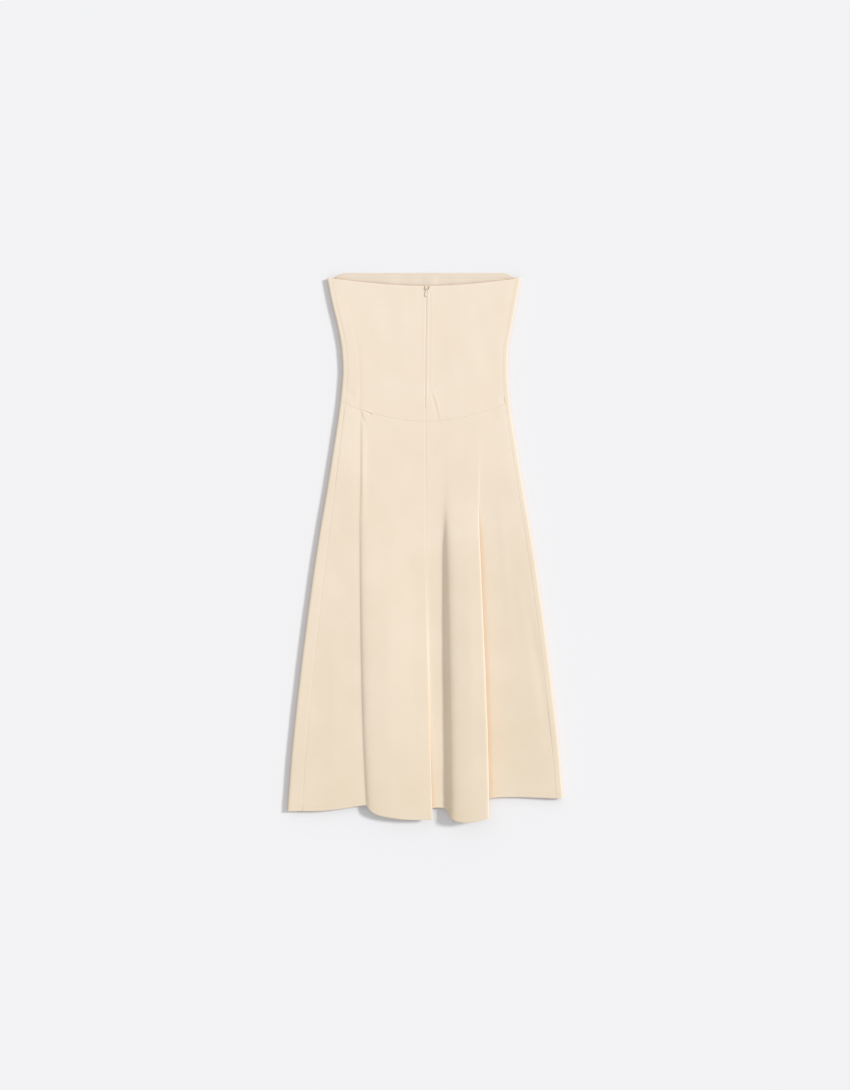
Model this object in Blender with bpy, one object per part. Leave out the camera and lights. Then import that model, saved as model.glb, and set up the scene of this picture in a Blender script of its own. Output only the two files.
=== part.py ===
"""A strapless dress laid flat on its front, with its centre back and zip facing up.

X runs across the dress, Y from the hem to the neckline, and Z up from the table. The origin is on the
table, under the middle of the dress. Sizes are in millimetres, and become metres when a mesh is made.
The tables' heights y count from MIDDLE_Y below the origin.

The cloth is one closed ring at every height: from the left side seam over the back panels to the right
side seam, round the right edge, across the front on the table and up round the left edge. Each row of
RING is one fold or edge of that ring. Every panel is a stretch of the ring between two seams.
"""

import math
from collections import namedtuple

import bmesh
import bpy
import numpy as np

MM = 0.001

# Driving sizes
WALL = 1.5
SEAM_GAP = 0.3
MIDDLE_Y = 1.83
NECK_Y = 541.0
WAIST_Y = 270.0
HIP_Y = 95.0
KNEE_Y = 0.0
HEM_Y = -545.0

# The outline seen from above: a row for each height, with the left and right edge of the cloth
Edge = namedtuple("Edge", "y left right")
OUTLINE = [
    Edge(551, -197.5, 193.5),
    Edge(495, -186.5, 182.8),
    Edge(440, -173.4, 172.6),
    Edge(395, -165.8, 165.4),
    Edge(355, -163.6, 164.2),
    Edge(315, -166.3, 166.4),
    Edge(270, -171.5, 171.2),
    Edge(215, -179.7, 179.8),
    Edge(135, -192.4, 192.8),
    Edge(0, -215.0, 215.2),
    Edge(-130, -233.4, 234.0),
    Edge(-290, -253.3, 254.4),
    Edge(-430, -267.6, 269.0),
    Edge(-551, -276.4, 278.6),
]

# The folds and edges of the ring. x is from the centre line or from the outline's left or right edge,
# and z is the middle of the wall above the table, at the neckline, the waist seam, the hip, the knee and
# the hem. Between those heights x from the centre line follows the outline's width. hem is where the hem
# crosses the fold.
Fold = namedtuple("Fold", "name side x_neck x_waist x_knee x_hem z_neck z_waist z_hip z_knee z_hem hem")
RING = [
    Fold("left_side_seam", "left", 8, 10, 20, 28, 8.8, 9.0, 9.2, 9.2, 9.8, -527),
    Fold("left_panel", "centre", -181, -154, -178, -212, 8.8, 9.0, 9.2, 9.3, 10.4, -528),
    Fold("left_inner", "centre", -177, -146, -155, -168, 8.8, 8.9, 9.2, 9.5, 11.2, -523),
    Fold("brink_a", "centre", -172, -138, -140, -128, 8.8, 8.8, 9.0, 9.6, 11.8, -516),
    Fold("valley_a", "centre", -166, -132, -131.5, -116.5, 8.7, 8.5, 8.6, 9.4, 11.6, -515),
    Fold("flank_a", "centre", -161, -127, -127, -110.5, 8.6, 8.9, 9.8, 11.9, 16.0, -524),
    Fold("shoulder_1", "centre", -150, -116, -116, -98, 8.5, 8.9, 10.0, 12.6, 18.6, -534),
    Fold("crest_1a", "centre", -110, -88, -84, -66, 8.3, 8.9, 9.9, 12.2, 19.8, -540),
    Fold("crest_1b", "centre", -62, -48, -46, -34, 8.1, 8.9, 9.7, 11.2, 19.8, -543.5),
    Fold("crest_1c", "centre", -26, -20, -17, -4, 8.0, 8.9, 9.5, 10.2, 19.2, -543.5),
    Fold("edge_1", "centre", -8, -6, -2, 10, 8.0, 8.9, 9.4, 9.7, 18.8, -543),
    Fold("centre_back", "centre", 3.2, 0.2, 2.0, 14.8, 8.0, 8.9, 9.3, 9.5, 17.4, -541),
    Fold("under_1", "centre", 11, 6.5, 5.0, 12.8, 8.0, 8.8, 9.2, 9.2, 13.8, -530),
    Fold("foot_1", "centre", 20, 13, 9.0, 12.6, 8.0, 8.7, 9.0, 8.9, 11.2, -522),
    Fold("valley_b", "centre", 30, 21, 17, 20, 8.0, 8.6, 8.9, 8.6, 10.2, -520),
    Fold("floor_b", "centre", 40, 30, 27, 34, 8.0, 8.6, 8.8, 8.4, 9.6, -520),
    Fold("flank_b", "centre", 51, 40, 38.5, 46.5, 8.0, 8.6, 8.9, 8.4, 10.0, -524),
    Fold("rise_b", "centre", 62, 48, 42, 49, 8.0, 8.7, 9.8, 14.5, 19.0, -538),
    Fold("shoulder_2", "centre", 75, 57, 50, 57, 8.1, 8.8, 10.2, 19.2, 26.4, -545),
    Fold("crest_2", "centre", 95, 77, 74, 84, 8.2, 8.9, 10.3, 20.2, 28.4, -548.5),
    Fold("edge_2", "centre", 111, 92, 95, 110, 8.3, 8.9, 10.3, 20.4, 28.8, -544),
    Fold("brink_2", "centre", 121, 100, 105, 122, 8.4, 8.9, 10.2, 20.3, 28.8, -540),
    Fold("nose_2", "centre", 130, 106, 109.8, 127.8, 8.4, 8.9, 9.8, 17.8, 25.4, -537),
    Fold("under_2", "centre", 138, 112, 104.5, 120, 8.5, 8.8, 9.2, 12.4, 16.0, -523),
    Fold("foot_2", "centre", 146, 119, 104, 118, 8.5, 8.7, 8.8, 7.8, 7.6, -506),
    Fold("right_inner", "centre", 155, 130, 117, 134, 8.6, 8.6, 8.6, 7.6, 7.4, -500),
    Fold("right_panel", "centre", 165, 144, 152, 192, 8.6, 8.6, 8.6, 8.0, 8.2, -499),
    Fold("right_ridge", "centre", 174, 153, 184, 240, 8.4, 8.6, 8.8, 9.4, 10.8, -501),
    Fold("right_side_seam", "right", -9, -9, -9, -9, 8.0, 8.2, 8.6, 9.6, 11.2, -502),
    Fold("right_roll_high", "right", 0.2, 0.2, 0.2, 0.2, 7.0, 7.2, 7.6, 8.6, 10.0, -502),
    Fold("right_roll_low", "right", 0.2, 0.2, 0.2, 0.2, 1.6, 1.6, 1.6, 1.6, 1.6, -502),
    Fold("right_floor_edge", "right", -6, -6, -6, -6, 0.75, 0.75, 0.75, 0.75, 0.75, -501),
    Fold("right_floor", "right", -20, -20, -22, -24, 0.75, 0.75, 0.75, 0.75, 0.75, -500),
    Fold("floor_1", "centre", 110, 90, 110, 140, 0.75, 0.75, 0.75, 0.75, 0.75, -501),
    Fold("floor_2", "centre", 40, 30, 36, 45, 0.75, 0.75, 0.75, 0.75, 0.75, -506),
    Fold("floor_3", "centre", -40, -30, -36, -45, 0.75, 0.75, 0.75, 0.75, 0.75, -511),
    Fold("floor_4", "centre", -110, -90, -110, -140, 0.75, 0.75, 0.75, 0.75, 0.75, -517),
    Fold("left_floor", "left", 20, 20, 22, 24, 0.75, 0.75, 0.75, 0.75, 0.75, -523),
    Fold("left_floor_edge", "left", 6, 6, 6, 6, 0.75, 0.75, 0.75, 0.75, 0.75, -527),
    Fold("left_roll_low", "left", -0.2, -0.2, -0.2, -0.2, 1.7, 1.7, 1.7, 1.7, 1.7, -528),
    Fold("left_roll_high", "left", -0.2, -0.2, -0.2, -0.2, 8.2, 8.4, 8.6, 8.8, 9.4, -528),
]
AT = {fold.name: index for index, fold in enumerate(RING)}
LEFT_SEAM = AT["left_side_seam"]
CENTRE_BACK = AT["centre_back"]
RIGHT_SEAM = AT["right_side_seam"]
RING_END = len(RING)

# Neckline: the back dips in the middle, and the front stands above it on the table
CORNER_Y = 539.5
BACK_NECK_DIP = 16.0
BACK_NECK_HALF = 192.0
BACK_NECK_POWER = 1.8
FRONT_RISE = 11.0
FRONT_RISE_FROM = 4.0
FRONT_RISE_WIDTH = 32.0

# Waist seam: lower in the middle than at the sides
WAIST_MIDDLE_Y = 252.0
WAIST_SIDE_RISE = 39.0
WAIST_HALF = 170.0
WAIST_POWER = 1.9

# Facing along the inside of the front's neckline
FACING_WALL = 1.0
FACING_BELOW_EDGE = 3.0
FACING_DEPTH = 42.0
FACING_SIDE_INSET = 16.0
FACING_COLUMNS, FACING_ROWS = 16, 4

# Concealed zip in the centre back seam
ZIP_TAPE_WALL = 1.0
ZIP_TAPE_HALF = 13.0
ZIP_NOTCH_HALF = 5.0
ZIP_TAPE_TOP_Y = 520.0
ZIP_TAPE_NOTCH_Y = 507.0
ZIP_TAPE_END_Y = 262.0
SLIT_OPEN = 8.4
SLIT_OPEN_FROM_Y = 512.0
SLIT_OPEN_TO_Y = 520.5

# Slider and its pull tab, measured from the cloth's outer face under the hinge pin
PIN_Y = 516.5
PIN_HEIGHT = 1.5
PIN_RADIUS = 0.5
PIN_HOLE_RADIUS = 0.68
KNUCKLE_RADIUS = 1.15
KNUCKLE_HALF = 1.2
LUG_INNER = 1.45
LUG_OUTER = 2.2
LUG_LOW = 0.35
LUG_HIGH = 2.3
LUG_BACK = -1.0
BRIDGE_START = 1.6
BRIDGE_END = 7.4
BRIDGE_TOP = 1.3
LUG_OVERLAP = 1.4
STEM_HALF = 0.9
STEM_START = 2.4
STEM_END = 5.4
INNER_HALF = 4.0
INNER_START = -6.0
INNER_END = 5.6
INNER_TOP = -WALL - 0.3
INNER_LOW = INNER_TOP - 1.6
TAB_LENGTH = 15.0
TAB_END_RADIUS = 2.9
TAB_NECK_HALF = 1.15
TAB_NECK_LENGTH = 1.8
TAB_LOW = 0.45
TAB_HIGH = 1.35
TAB_ARC_START, TAB_ARC_SPAN, TAB_ARC_STEPS = 12, 204, 14
ROUND_SIDES = 20


def smooth_step(value):
    share = min(1.0, max(0.0, value))
    return share * share * (3 - 2 * share)


def monotone(places, values):
    """A smooth curve through values at rising places, with no overshoot, as a function of the place."""
    places = [float(p) for p in places]
    steps = [b - a for a, b in zip(places, places[1:])]
    slopes = [(b - a) / h for a, b, h in zip(values, values[1:], steps)]
    tangents = [slopes[0]]
    for before, after, h_before, h_after in zip(slopes, slopes[1:], steps, steps[1:]):
        if before * after <= 0:
            tangents.append(0.0)
            continue
        w_before, w_after = 2 * h_after + h_before, h_after + 2 * h_before
        tangents.append((w_before + w_after) / (w_before / before + w_after / after))
    tangents.append(slopes[-1])

    def at(place):
        if place <= places[0]:
            return values[0] + tangents[0] * (place - places[0])
        if place >= places[-1]:
            return values[-1] + tangents[-1] * (place - places[-1])
        k = next(i for i in range(len(steps)) if place <= places[i + 1])
        s = (place - places[k]) / steps[k]
        return (
            values[k] * (1 + 2 * s) * (1 - s) ** 2
            + tangents[k] * steps[k] * s * (1 - s) ** 2
            + values[k + 1] * s * s * (3 - 2 * s)
            + tangents[k + 1] * steps[k] * s * s * (s - 1)
        )

    return at


rising = sorted(OUTLINE)
outline_left = monotone([e.y for e in rising], [e.left for e in rising])
outline_right = monotone([e.y for e in rising], [e.right for e in rising])


def half_width(y):
    return (outline_right(y) - outline_left(y)) / 2


def fold_x(fold):
    """Where a fold lies across the dress, as a function of the height."""
    stated = [
        (HEM_Y, fold.x_hem), (KNEE_Y, fold.x_knee), (WAIST_Y, fold.x_waist), (NECK_Y, fold.x_neck),
    ]
    if fold.side == "centre":
        share = monotone([y for y, x in stated], [x / half_width(y) for y, x in stated])
        return lambda y: share(y) * half_width(y)
    edge = outline_left if fold.side == "left" else outline_right
    offset = monotone([y for y, x in stated], [x for y, x in stated])
    return lambda y: edge(y) + offset(y)


FOLD_X = [fold_x(fold) for fold in RING]
FOLD_Z = [
    monotone([HEM_Y, KNEE_Y, HIP_Y, WAIST_Y, NECK_Y], [f.z_hem, f.z_knee, f.z_hip, f.z_waist, f.z_neck])
    for f in RING
]


def spline_weights(share):
    """The four weights of a uniform cubic B-spline, which rounds the ring through its folds."""
    s = share
    return (
        (1 - s) ** 3 / 6,
        (3 * s**3 - 6 * s * s + 4) / 6,
        (-3 * s**3 + 3 * s * s + 3 * s + 1) / 6,
        s**3 / 6,
    )


def along_ring(u, value_of):
    """The spline through value_of(fold index) at ring position u."""
    first = math.floor(u)
    weights = spline_weights(u - first)
    return sum(w * value_of((first + k - 1) % RING_END) for k, w in enumerate(weights))


def cloth_point(u, y):
    """The middle of the wall at ring position u and height y."""
    x = along_ring(u, lambda k: FOLD_X[k](y))
    z = along_ring(u, lambda k: FOLD_Z[k](y))
    return np.array([x, y - MIDDLE_Y, z])


def cloth_normal(u, y):
    """The outward direction of the wall there, and how far apart ring positions are, in mm."""
    across = (cloth_point(u + 0.01, y) - cloth_point(u - 0.01, y)) / 0.02
    along = cloth_point(u, y + 0.5) - cloth_point(u, y - 0.5)
    normal = np.cross(across, along)
    return normal / np.linalg.norm(normal), float(np.linalg.norm(across))


def neck_y(u):
    """The neckline's height at ring position u."""
    x = cloth_point(u, NECK_Y)[0]
    if LEFT_SEAM <= u % RING_END <= RIGHT_SEAM:
        share = min(1.0, abs(x) / BACK_NECK_HALF)
        return CORNER_Y - BACK_NECK_DIP * (1 - share**BACK_NECK_POWER)
    inside = min(x - outline_left(NECK_Y), outline_right(NECK_Y) - x)
    return CORNER_Y + FRONT_RISE * smooth_step((inside - FRONT_RISE_FROM) / FRONT_RISE_WIDTH)


def waist_y(u):
    x = cloth_point(u, WAIST_Y)[0]
    return WAIST_MIDDLE_Y + WAIST_SIDE_RISE * min(1.0, abs(x) / WAIST_HALF) ** WAIST_POWER


def hem_y(u):
    return along_ring(u, lambda k: RING[k].hem)


def slit_gap(y):
    """The gap in the centre back seam, which opens at the top for the zip's slider."""
    opened = smooth_step((y - SLIT_OPEN_FROM_Y) / (SLIT_OPEN_TO_Y - SLIT_OPEN_FROM_Y))
    return SEAM_GAP + (SLIT_OPEN - SEAM_GAP) * opened


def seam_gap(u, y):
    return slit_gap(y) if u == CENTRE_BACK else SEAM_GAP


def ring_positions(start, end, spans):
    """Ring positions from start to end. spans names how many steps a fold's stretch has, and others have 1."""
    places = []
    for fold in range(start, end):
        steps = spans.get(RING[fold % RING_END].name, spans["other"])
        places += [fold + k / steps for k in range(steps)]
    return places + [float(end)]


def new_object(name, vertices, faces, material):
    """One closed mesh object, from points in mm."""
    mesh = bpy.data.meshes.new(name)
    made = bmesh.new()
    corners = [made.verts.new([c * MM for c in v]) for v in vertices]
    for face in faces:
        made.faces.new([corners[k] for k in face])
    bmesh.ops.recalc_face_normals(made, faces=made.faces)
    made.to_mesh(mesh)
    made.free()
    mesh.materials.append(material)
    mesh.shade_smooth()
    mesh.set_sharp_from_angle(angle=math.radians(40))
    obj = bpy.data.objects.new(name, mesh)
    bpy.context.scene.collection.objects.link(obj)
    return obj


def wall(name, outer, inner, material, present=lambda i, j: True):
    """A closed wall between two grids of points. Cells where present is false are left open."""
    rows, columns = len(outer), len(outer[0])
    number, vertices, faces = {}, [], []

    def corner(side, i, j):
        key = (side, i, j)
        if key not in number:
            number[key] = len(vertices)
            vertices.append((outer if side else inner)[i][j])
        return number[key]

    def filled(i, j):
        return 0 <= i < rows - 1 and 0 <= j < columns - 1 and present(i, j)

    for i in range(rows - 1):
        for j in range(columns - 1):
            if not filled(i, j):
                continue
            loop = [(i, j), (i, j + 1), (i + 1, j + 1), (i + 1, j)]
            faces.append([corner(1, *p) for p in loop])
            faces.append([corner(0, *p) for p in reversed(loop)])
            beside = [(i - 1, j), (i, j + 1), (i + 1, j), (i, j - 1)]
            for (a, b), neighbour in zip(zip(loop, loop[1:] + loop[:1]), beside):
                if not filled(*neighbour):
                    faces.append([corner(1, *b), corner(1, *a), corner(0, *a), corner(0, *b)])
    return new_object(name, vertices, faces, material)


def panel(name, positions, row_shares, top_of, bottom_of, material):
    """A stretch of the ring between two seams, from top_of(u) down to bottom_of(u)."""
    outer, inner = [], []
    for share in row_shares:
        outer_row, inner_row = [], []
        for j, u in enumerate(positions):
            y = top_of(u) + (bottom_of(u) - top_of(u)) * share
            inward = 1 if j == 0 else -1 if j == len(positions) - 1 else 0
            normal, spacing = cloth_normal(u, y)
            if inward:
                u = u + inward * seam_gap(round(u) % RING_END, y) / 2 / spacing
                normal, spacing = cloth_normal(u, y)
            middle = cloth_point(u, y)
            outer_row.append(middle + normal * WALL / 2)
            inner_row.append(middle - normal * WALL / 2)
        outer.append(outer_row)
        inner.append(inner_row)
    return wall(name, outer, inner, material)


def material_of(name, colour, roughness, metallic=0.0):
    made = bpy.data.materials.new(name)
    made.use_nodes = True
    shader = made.node_tree.nodes["Principled BSDF"]
    shader.inputs["Base Color"].default_value = (*colour, 1.0)
    shader.inputs["Roughness"].default_value = roughness
    shader.inputs["Metallic"].default_value = metallic
    return made


def above_waist(u):
    return waist_y(u) + SEAM_GAP / 2


def below_waist(u):
    return waist_y(u) - SEAM_GAP / 2


# How many steps the mesh takes over each stretch between two folds: fine where the cloth turns sharply
BODICE_STEPS = {"left_side_seam": 2, "right_side_seam": 3, "left_roll_high": 3, "left_floor_edge": 3}
BODICE_STEPS.update({"right_roll_high": 3, "right_roll_low": 3, "left_roll_low": 3, "other": 1})
BODICE_STEPS.update({"floor_1": 2, "floor_2": 2, "floor_3": 2, "floor_4": 2})
SKIRT_STEPS = {**BODICE_STEPS, "edge_1": 3, "centre_back": 3, "brink_2": 3, "nose_2": 3, "other": 2}
BODICE_ROWS = [0, 0.013, 0.026, 0.04, *np.linspace(0.08, 1, 11)]
SKIRT_ROWS = np.linspace(0, 1, 21)
PANELS = {
    "back_left": (LEFT_SEAM, CENTRE_BACK),
    "back_right": (CENTRE_BACK, RIGHT_SEAM),
    "front": (RIGHT_SEAM, RING_END),
}


def make_panels(cloth):
    for name, (start, end) in PANELS.items():
        bodice = ring_positions(start, end, BODICE_STEPS)
        skirt = ring_positions(start, end, SKIRT_STEPS)
        panel("bodice_" + name, bodice, BODICE_ROWS, neck_y, above_waist, cloth)
        panel("skirt_" + name, skirt, SKIRT_ROWS, below_waist, hem_y, cloth)


def ring_position_at(x, y, start, end):
    """The ring position between start and end where the cloth is x across."""
    low, high = float(start), float(end)
    rises = cloth_point(high, y)[0] > cloth_point(low, y)[0]
    for _ in range(30):
        middle = (low + high) / 2
        if (cloth_point(middle, y)[0] < x) == rises:
            low = middle
        else:
            high = middle
    return (low + high) / 2


def inside_panel(u, y, thickness):
    """Outer and inner point of a layer that lies SEAM_GAP inside a panel."""
    normal, _ = cloth_normal(u, y)
    middle = cloth_point(u, y)
    near = WALL / 2 + SEAM_GAP
    return middle - normal * near, middle - normal * (near + thickness)


def make_facing(cloth):
    """The strip inside the front's neckline, which shows above the back."""
    right_x = outline_right(NECK_Y) - FACING_SIDE_INSET
    left_x = outline_left(NECK_Y) + FACING_SIDE_INSET
    first, last = AT["right_floor_edge"] - 1, AT["left_floor_edge"] + 1
    outer, inner = [], []
    for i in range(FACING_ROWS + 1):
        outer_row, inner_row = [], []
        for j in range(FACING_COLUMNS + 1):
            x = right_x + (left_x - right_x) * j / FACING_COLUMNS
            u = ring_position_at(x, NECK_Y, first, last)
            y = neck_y(u) - FACING_BELOW_EDGE - (FACING_DEPTH - FACING_BELOW_EDGE) * i / FACING_ROWS
            u = ring_position_at(x, y, first, last)
            near, far = inside_panel(u, y, FACING_WALL)
            outer_row.append(near)
            inner_row.append(far)
        outer.append(outer_row)
        inner.append(inner_row)
    return wall("neck_facing_front", outer, inner, cloth)


def make_zip_tape(tape):
    """The zip's tape behind the centre back seam, forked round the slider at its top."""
    offsets = [-ZIP_TAPE_HALF, -ZIP_NOTCH_HALF, ZIP_NOTCH_HALF, ZIP_TAPE_HALF]
    below = np.linspace(ZIP_TAPE_NOTCH_Y, ZIP_TAPE_END_Y, 9)
    heights = [ZIP_TAPE_TOP_Y, *below]
    outer, inner = [], []
    for y in heights:
        centre_x = cloth_point(CENTRE_BACK, y)[0]
        places = [ring_position_at(centre_x + dx, y, LEFT_SEAM, RIGHT_SEAM) for dx in offsets]
        pairs = [inside_panel(u, y, ZIP_TAPE_WALL) for u in places]
        outer.append([near for near, far in pairs])
        inner.append([far for near, far in pairs])
    return wall("zip_tape", outer, inner, tape, present=lambda i, j: not (i == 0 and j == 1))


def block(name, low, high, material):
    """A box from its lowest to its highest corner, in mm from the hinge pin's foot on the cloth."""
    made = bmesh.new()
    bmesh.ops.create_cube(made, size=1.0)
    for vertex in made.verts:
        vertex.co = [(a if c < 0 else b) * MM for c, a, b in zip(vertex.co, low, high)]
    return finished(name, made, material)


def rod(name, radius, half_width, height, material):
    """A round rod along X, at the hinge pin's place."""
    made = bmesh.new()
    bmesh.ops.create_cone(
        made, cap_ends=True, segments=ROUND_SIDES, radius1=radius * MM, radius2=radius * MM,
        depth=2 * half_width * MM,
    )
    for vertex in made.verts:
        x, y, z = vertex.co
        vertex.co = (z, y, x + height * MM)
    bmesh.ops.recalc_face_normals(made, faces=made.faces)
    return finished(name, made, material)


def finished(name, made, material):
    mesh = bpy.data.meshes.new(name)
    made.to_mesh(mesh)
    made.free()
    mesh.materials.append(material)
    obj = bpy.data.objects.new(name, mesh)
    bpy.context.scene.collection.objects.link(obj)
    return obj


def combine(obj, others, operation):
    """Joins or cuts obj with each helper, and keeps the helpers out of the model."""
    for other in others:
        modifier = obj.modifiers.new(operation.lower() + "_" + other.name, "BOOLEAN")
        modifier.operation = operation
        modifier.solver = "EXACT"
        modifier.object = other
        other.hide_render = True
        other.display_type = "WIRE"


def pull_tab_outline():
    """The teardrop tab from above: narrow at the hinge and round at the free end."""
    neck = -TAB_NECK_LENGTH
    points = [(TAB_NECK_HALF, 0.0), (TAB_NECK_HALF, neck)]
    centre = -TAB_LENGTH + TAB_END_RADIUS
    for k in range(TAB_ARC_STEPS + 1):
        angle = math.radians(TAB_ARC_START - TAB_ARC_SPAN * k / TAB_ARC_STEPS)
        points.append((TAB_END_RADIUS * math.cos(angle), centre + TAB_END_RADIUS * math.sin(angle)))
    return points + [(-TAB_NECK_HALF, neck), (-TAB_NECK_HALF, 0.0)]


def make_slider(metal):
    """The slider: a bridge and two lugs above the cloth, and its body behind the zip's tape."""
    slider = block("zip_slider", (-LUG_OUTER, BRIDGE_START, LUG_LOW), (LUG_OUTER, BRIDGE_END, BRIDGE_TOP), metal)
    lug_end = BRIDGE_START + LUG_OVERLAP
    lugs = [
        block(f"slider_lug_{side}", (low, LUG_BACK, LUG_LOW), (high, lug_end, LUG_HIGH), metal)
        for side, low, high in [("left", -LUG_OUTER, -LUG_INNER), ("right", LUG_INNER, LUG_OUTER)]
    ]
    pin = rod("slider_pin", PIN_RADIUS, (LUG_INNER + LUG_OUTER) / 2, PIN_HEIGHT, metal)
    stem_low, stem_high = (INNER_TOP + INNER_LOW) / 2, (LUG_LOW + BRIDGE_TOP) / 2
    stem = block("slider_stem", (-STEM_HALF, STEM_START, stem_low), (STEM_HALF, STEM_END, stem_high), metal)
    inner = block("slider_body", (-INNER_HALF, INNER_START, INNER_LOW), (INNER_HALF, INNER_END, INNER_TOP), metal)
    combine(slider, [*lugs, pin, stem, inner], "UNION")
    return [slider, *lugs, pin, stem, inner]


def make_pull_tab(metal):
    """The tab, with a bored knuckle round the slider's pin."""
    made = bmesh.new()
    face = made.faces.new([made.verts.new((x * MM, y * MM, TAB_LOW * MM)) for x, y in pull_tab_outline()])
    raised = bmesh.ops.extrude_face_region(made, geom=[face])["geom"]
    for vertex in (g for g in raised if isinstance(g, bmesh.types.BMVert)):
        vertex.co.z = TAB_HIGH * MM
    bmesh.ops.recalc_face_normals(made, faces=made.faces)
    tab = finished("zip_pull_tab", made, metal)
    knuckle = rod("tab_knuckle", KNUCKLE_RADIUS, KNUCKLE_HALF, PIN_HEIGHT, metal)
    hole = rod("tab_hole", PIN_HOLE_RADIUS, KNUCKLE_HALF + 1.0, PIN_HEIGHT, metal)
    combine(tab, [knuckle], "UNION")
    combine(tab, [hole], "DIFFERENCE")
    return [tab, knuckle, hole]


def make_zip_metal(metal):
    """The slider and its tab, parented to an empty on the cloth under the hinge pin."""
    hinge = bpy.data.objects.new("pull_tab_hinge", None)
    bpy.context.scene.collection.objects.link(hinge)
    x, y, z = cloth_point(CENTRE_BACK, PIN_Y)
    hinge.location = (x * MM, y * MM, (z + WALL / 2) * MM)
    for obj in make_slider(metal) + make_pull_tab(metal):
        obj.parent = hinge


def main():
    for obj in list(bpy.data.objects):
        bpy.data.objects.remove(obj)
    cloth = material_of("cream_cotton", (0.86, 0.74, 0.60), 0.9)
    facing = material_of("cream_facing", (0.85, 0.73, 0.60), 0.9)
    tape = material_of("cream_tape", (0.82, 0.71, 0.57), 0.85)
    metal = material_of("cream_enamel", (0.84, 0.74, 0.60), 0.35)
    make_panels(cloth)
    make_facing(facing)
    make_zip_tape(tape)
    make_zip_metal(metal)


main()
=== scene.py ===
"""Looks of the strapless dress laid flat: cloth shells, seams, stitches, zip, light and camera.

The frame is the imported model's, in metres. Sizes in the tables are in millimetres, and heights y there
count from MIDDLE_Y below the origin, as in the part's source. The cloth is a closed ring at each height,
through the folds of RING, and each panel is a stretch of it.
"""

import math
from collections import namedtuple

import bpy
import numpy as np
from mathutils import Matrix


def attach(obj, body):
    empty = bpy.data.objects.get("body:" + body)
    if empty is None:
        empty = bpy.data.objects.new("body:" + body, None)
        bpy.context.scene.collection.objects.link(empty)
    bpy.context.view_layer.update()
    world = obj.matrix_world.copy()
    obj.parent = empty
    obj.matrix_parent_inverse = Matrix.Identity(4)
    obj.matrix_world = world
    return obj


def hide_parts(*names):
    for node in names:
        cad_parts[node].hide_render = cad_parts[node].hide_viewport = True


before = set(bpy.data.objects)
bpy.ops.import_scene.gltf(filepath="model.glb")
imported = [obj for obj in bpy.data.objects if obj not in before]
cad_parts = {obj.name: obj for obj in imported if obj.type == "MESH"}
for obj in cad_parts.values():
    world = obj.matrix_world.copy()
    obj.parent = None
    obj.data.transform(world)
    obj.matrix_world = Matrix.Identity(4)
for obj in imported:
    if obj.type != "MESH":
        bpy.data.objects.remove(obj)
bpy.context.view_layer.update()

MM = 0.001

# The form of the cloth, as in the part's source
SOLID_WALL = 1.5
MIDDLE_Y = 1.83
NECK_Y, WAIST_Y, HIP_Y, KNEE_Y, HEM_Y = 541.0, 270.0, 95.0, 0.0, -545.0

Edge = namedtuple("Edge", "y left right")
OUTLINE = [
    Edge(551, -197.5, 193.5),
    Edge(495, -186.5, 182.8),
    Edge(440, -173.4, 172.6),
    Edge(395, -165.8, 165.4),
    Edge(355, -163.6, 164.2),
    Edge(315, -166.3, 166.4),
    Edge(270, -171.5, 171.2),
    Edge(215, -179.7, 179.8),
    Edge(135, -192.4, 192.8),
    Edge(0, -215.0, 215.2),
    Edge(-130, -233.4, 234.0),
    Edge(-290, -253.3, 254.4),
    Edge(-430, -267.6, 269.0),
    Edge(-551, -276.4, 278.6),
]

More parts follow.
